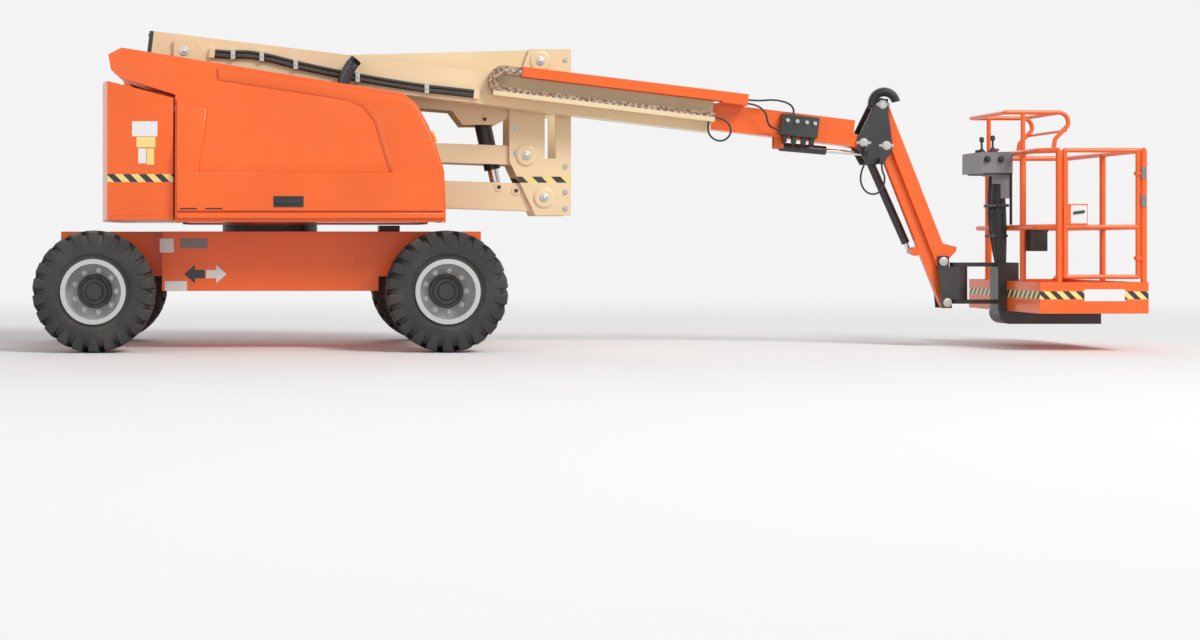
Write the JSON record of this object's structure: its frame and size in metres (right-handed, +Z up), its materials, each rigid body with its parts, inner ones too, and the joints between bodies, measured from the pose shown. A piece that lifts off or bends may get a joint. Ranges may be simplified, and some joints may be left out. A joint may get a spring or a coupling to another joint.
{
  "type": "articulating boom lift",
  "caption": "Wheeled aerial work platform: folded riser tower, telescoping main boom, jib and rotating railed platform on a slewing turntable.",
  "frame": {"origin": "on the ground, at the middle of the stowed machine's box", "axes": "+X from the chassis towards the platform, +Z up"},
  "size_m": [7.7526, 2.26, 2.2882],
  "materials": {
    "tyre_rubber": "matt",
    "rim_paint": "satin",
    "cream_paint": "satin",
    "orange_paint": "satin",
    "black_paint": "satin",
    "rod_chrome": "polished",
    "carrier_steel": "satin",
    "hose_rubber": "matt",
    "console_grey": "satin"
  },
  "bodies": {
    "chassis": {"chassis_frame": "orange_paint", "swing_bearing": "black_paint", "steer_axle": "black_paint", "drive_axle": "black_paint"},
    "knuckle_near": {"knuckle_near": "black_paint"},
    "knuckle_far": {"knuckle_far": "black_paint"},
    "tie_rod": {"tie_rod": "black_paint"},
    "wheel_steer_near": {"tyre_steer_near": "tyre_rubber", "rim_steer_near": "rim_paint"},
    "wheel_steer_far": {"tyre_steer_far": "tyre_rubber", "rim_steer_far": "rim_paint"},
    "wheel_drive_near": {"tyre_drive_near": "tyre_rubber", "rim_drive_near": "rim_paint"},
    "wheel_drive_far": {"tyre_drive_far": "tyre_rubber", "rim_drive_far": "rim_paint"},
    "turntable": {"turntable_frame": "orange_paint", "counterweight": "orange_paint", "engine_block": "black_paint", "exhaust_stack": "black_paint"},
    "hood_near": {"hood_near": "orange_paint"},
    "hood_far": {"hood_far": "orange_paint"},
    "lower_riser": {"lower_riser": "cream_paint"},
    "timing_link": {"timing_link": "cream_paint"},
    "upright": {"upright": "cream_paint"},
    "upper_riser": {"upper_riser": "cream_paint"},
    "boom_knuckle": {"boom_knuckle": "black_paint"},
    "tower_barrel": {"tower_cyl_barrel": "black_paint"},
    "tower_stage": {"tower_cyl_stage": "black_paint"},
    "tower_rod": {"tower_cyl_rod": "rod_chrome"},
    "main_boom": {"main_boom": "cream_paint", "boom_tail_cap": "cream_paint", "carrier_lower": "carrier_steel", "boom_hose_upper": "hose_rubber", "boom_hose_lower": "hose_rubber", "trough_hose": "hose_rubber"},
    "lift_barrel": {"lift_cyl_barrel": "black_paint"},
    "lift_rod": {"lift_cyl_rod": "rod_chrome"},
    "fly_boom": {"fly_boom": "orange_paint", "carrier_tube": "orange_paint", "valve_block": "black_paint", "tube_hose_upper": "hose_rubber", "tube_hose_lower": "hose_rubber"},
    "carrier_loop": {"carrier_loop": "carrier_steel"},
    "jib_knuckle": {"jib_knuckle": "black_paint", "knuckle_hose": "hose_rubber"},
    "level_barrel": {"level_cyl_barrel": "black_paint"},
    "level_rod": {"level_cyl_rod": "rod_chrome"},
    "jib_lower_arm": {"jib_lower_arm": "orange_paint"},
    "jib_upper_arm": {"jib_upper_arm": "orange_paint"},
    "jib_barrel": {"jib_cyl_barrel": "black_paint"},
    "jib_rod": {"jib_cyl_rod": "rod_chrome"},
    "rotator": {"rotator": "black_paint"},
    "platform": {"platform_support": "black_paint", "platform_floor": "orange_paint", "platform_rails": "orange_paint", "console_guard": "orange_paint", "control_console": "console_grey"},
    "gate": {"platform_gate": "orange_paint"}
  },
  "joints": [
    {"name": "steer", "type": "hinge", "parent": "chassis", "child": "knuckle_near", "pos_m": [-3.45375, -0.72, 0.4225], "axis": [0, 0, 1], "range_deg": [-35, 35]},
    {"name": "steer_far", "type": "hinge", "parent": "chassis", "child": "knuckle_far", "pos_m": [-3.45375, 0.72, 0.4225], "axis": [0, 0, 1], "range_deg": [-35, 35]},
    {"name": "tie_rod_pivot", "type": "hinge", "parent": "knuckle_near", "child": "tie_rod", "pos_m": [-3.25375, -0.72, 0.4225], "axis": [0, 0, 1], "range_deg": [-35, 35]},
    {"name": "roll_steer_near", "type": "hinge", "parent": "knuckle_near", "child": "wheel_steer_near", "pos_m": [-3.45375, -0.975, 0.4225], "axis": [0, 1, 0], "continuous": true},
    {"name": "roll_steer_far", "type": "hinge", "parent": "knuckle_far", "child": "wheel_steer_far", "pos_m": [-3.45375, 0.975, 0.4225], "axis": [0, 1, 0], "continuous": true},
    {"name": "roll_drive_near", "type": "hinge", "parent": "chassis", "child": "wheel_drive_near", "pos_m": [-1.01375, -0.975, 0.4225], "axis": [0, 1, 0], "continuous": true},
    {"name": "roll_drive_far", "type": "hinge", "parent": "chassis", "child": "wheel_drive_far", "pos_m": [-1.01375, 0.975, 0.4225], "axis": [0, 1, 0], "continuous": true},
    {"name": "swing", "type": "hinge", "parent": "chassis", "child": "turntable", "pos_m": [-2.23375, 0, 0.89], "axis": [0, 0, 1], "continuous": true},
    {"name": "hood_near_open", "type": "hinge", "parent": "turntable", "child": "hood_near", "pos_m": [-3.27375, -0.56, 2.12], "axis": [-0.9869, 0, 0.1611], "range_deg": [0, 65]},
    {"name": "hood_far_open", "type": "hinge", "parent": "turntable", "child": "hood_far", "pos_m": [-3.27375, 0.56, 2.12], "axis": [0.9869, 0, -0.1611], "range_deg": [0, 65]},
    {"name": "tower_lift", "type": "hinge", "parent": "turntable", "child": "lower_riser", "pos_m": [-2.82375, 0.06, 1.18], "axis": [0, -1, 0], "range_deg": [0, 68]},
    {"name": "timing_pivot", "type": "hinge", "parent": "turntable", "child": "timing_link", "pos_m": [-2.95475, 0.06, 1.488], "axis": [0, -1, 0], "range_deg": [0, 68]},
    {"name": "upright_pivot", "type": "hinge", "parent": "lower_riser", "child": "upright", "pos_m": [-0.22475, 0.06, 1.091], "axis": [0, -1, 0], "range_deg": [-68, 0]},
    {"name": "upper_pivot", "type": "hinge", "parent": "upright", "child": "upper_riser", "pos_m": [-0.25375, 0.06, 2.091], "axis": [0, -1, 0], "range_deg": [-68, 0]},
    {"name": "knuckle_pivot", "type": "hinge", "parent": "upper_riser", "child": "boom_knuckle", "pos_m": [-2.85375, 0.06, 2.009], "axis": [0, -1, 0], "range_deg": [0, 68]},
    {"name": "tower_barrel_pivot", "type": "hinge", "parent": "upper_riser", "child": "tower_barrel", "pos_m": [-0.65975, 0.06, 1.666], "axis": [0, -1, 0], "range_deg": [0, 70.09]},
    {"name": "tower_stage_slide", "type": "slide", "parent": "tower_barrel", "child": "tower_stage", "axis": [0.2109, 0, -0.9775], "range_m": [0, 0.5164]},
    {"name": "tower_rod_slide", "type": "slide", "parent": "tower_stage", "child": "tower_rod", "axis": [0.2109, 0, -0.9775], "range_m": [0, 0.5164]},
    {"name": "boom_lift", "type": "hinge", "parent": "boom_knuckle", "child": "main_boom", "pos_m": [-2.85375, -0.28, 2.14], "axis": [0, -1, 0], "range_deg": [0, 82]},
    {"name": "lift_barrel_pivot", "type": "hinge", "parent": "boom_knuckle", "child": "lift_barrel", "pos_m": [-2.68375, -0.28, 1.6], "axis": [0, -1, 0], "range_deg": [0, 69.89]},
    {"name": "lift_rod_slide", "type": "slide", "parent": "lift_barrel", "child": "lift_rod", "axis": [0.9883, 0, 0.1524], "range_m": [0, 0.6707]},
    {"name": "telescope", "type": "slide", "parent": "main_boom", "child": "fly_boom", "axis": [0.9928, 0, -0.1196], "range_m": [0, 2.9]},
    {"name": "carrier_slide", "type": "slide", "parent": "main_boom", "child": "carrier_loop", "axis": [0.9928, 0, -0.1196], "range_m": [0, 1.45]},
    {"name": "level_pivot", "type": "hinge", "parent": "fly_boom", "child": "jib_knuckle", "pos_m": [2.06825, -0.28, 1.485], "axis": [0, -1, 0], "range_deg": [-82, 0]},
    {"name": "level_barrel_pivot", "type": "hinge", "parent": "fly_boom", "child": "level_barrel", "pos_m": [1.46625, -0.28, 1.462], "axis": [0, -1, 0], "range_deg": [-0.744, 0]},
    {"name": "level_rod_slide", "type": "slide", "parent": "level_barrel", "child": "level_rod", "axis": [0.9962, 0, -0.0866], "range_m": [-0.1366, 0]},
    {"name": "jib_lift", "type": "hinge", "parent": "jib_knuckle", "child": "jib_lower_arm", "pos_m": [2.23425, -0.28, 1.4645], "axis": [0, -1, 0], "range_deg": [0, 135]},
    {"name": "jib_upper_pivot", "type": "hinge", "parent": "jib_knuckle", "child": "jib_upper_arm", "pos_m": [2.20625, -0.28, 1.7635], "axis": [0, -1, 0], "range_deg": [0, 135]},
    {"name": "jib_barrel_pivot", "type": "hinge", "parent": "jib_knuckle", "child": "jib_barrel", "pos_m": [2.17125, -0.147, 1.37], "axis": [0, -1, 0], "range_deg": [0, 127.47]},
    {"name": "jib_rod_slide", "type": "slide", "parent": "jib_barrel", "child": "jib_rod", "axis": [0.4057, 0, -0.914], "range_m": [0, 0.1801]},
    {"name": "rotator_pivot", "type": "hinge", "parent": "jib_lower_arm", "child": "rotator", "pos_m": [2.68321, -0.28, 0.32474], "axis": [0, -1, 0], "range_deg": [-135, 0]},
    {"name": "platform_rotate", "type": "hinge", "parent": "rotator", "child": "platform", "pos_m": [2.76625, -0.28, 0.586], "axis": [0, 0, 1], "range_deg": [-90, 90]},
    {"name": "gate_open", "type": "hinge", "parent": "platform", "child": "gate", "pos_m": [3.80825, -1.021, 1.404], "axis": [0, 0, -1], "range_deg": [0, 85]}
  ],
  "couplings": [
    {"joint": "steer_far", "follows": "steer", "ratio": 1},
    {"joint": "tie_rod_pivot", "follows": "steer", "ratio": -1},
    {"joint": "timing_pivot", "follows": "tower_lift", "ratio": 1},
    {"joint": "upright_pivot", "follows": "tower_lift", "ratio": -1},
    {"joint": "upper_pivot", "follows": "tower_lift", "ratio": -1},
    {"joint": "knuckle_pivot", "follows": "tower_lift", "ratio": 1},
    {"joint": "tower_barrel_pivot", "follows": "tower_lift", "ratio": 1.0306},
    {"joint": "tower_stage_slide", "follows": "tower_lift", "m_per_rad": 0.43466},
    {"joint": "tower_rod_slide", "follows": "tower_lift", "m_per_rad": 0.43466},
    {"joint": "lift_barrel_pivot", "follows": "boom_lift", "ratio": 0.85175},
    {"joint": "lift_rod_slide", "follows": "boom_lift", "m_per_rad": 0.4683},
    {"joint": "carrier_slide", "follows": "telescope", "ratio": 0.5},
    {"joint": "level_pivot", "follows": "boom_lift", "ratio": -1},
    {"joint": "level_barrel_pivot", "follows": "boom_lift", "ratio": -0.008457},
    {"joint": "level_rod_slide", "follows": "boom_lift", "m_per_rad": -0.095082},
    {"joint": "jib_upper_pivot", "follows": "jib_lift", "ratio": 1},
    {"joint": "jib_barrel_pivot", "follows": "jib_lift", "ratio": 0.94386},
    {"joint": "jib_rod_slide", "follows": "jib_lift", "m_per_rad": 0.076243},
    {"joint": "rotator_pivot", "follows": "jib_lift", "ratio": -1}
  ]
}
